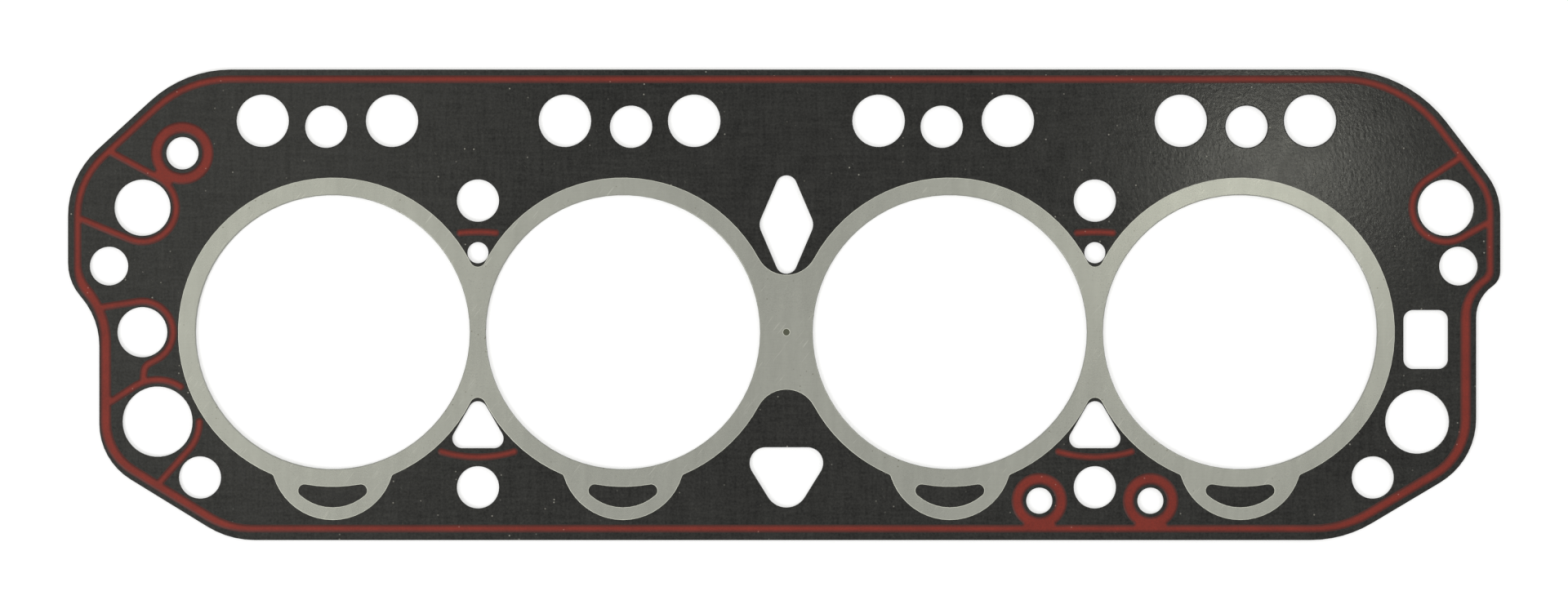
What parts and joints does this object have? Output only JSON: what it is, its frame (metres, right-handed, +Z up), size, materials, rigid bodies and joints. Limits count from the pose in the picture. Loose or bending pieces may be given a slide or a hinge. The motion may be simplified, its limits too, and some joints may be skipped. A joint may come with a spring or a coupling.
{
  "type": "cylinder head gasket",
  "caption": "Flat composite head gasket for an in-line engine: steel core between dark soft facings, folded steel armour round the cylinder openings, red sealing beads.",
  "frame": {"origin": "Midway between the two middle cylinders and midway between the long edges, on the underside of the armour's folded lips", "axes": "+X along the cylinder row, +Y across the gasket towards the pushrod holes, +Z up to the cylinder head"},
  "size_m": [0.4807, 0.158, 0.0017],
  "materials": {
    "core_steel": "satin",
    "facing": "matt",
    "armour_steel": "satin",
    "bead_silicone": "matt"
  },
  "bodies": {
    "root": {"steel_core": "core_steel", "upper_facing": "facing", "lower_facing": "facing", "bore_armour": "armour_steel", "upper_edge_bead": "bead_silicone", "upper_straight_bead_left": "bead_silicone", "upper_straight_bead_right": "bead_silicone", "upper_curved_bead_left": "bead_silicone", "upper_curved_bead_right": "bead_silicone", "lower_edge_bead": "bead_silicone", "lower_straight_bead_left": "bead_silicone", "lower_straight_bead_right": "bead_silicone", "lower_curved_bead_left": "bead_silicone", "lower_curved_bead_right": "bead_silicone"}
  },
  "joints": []
}
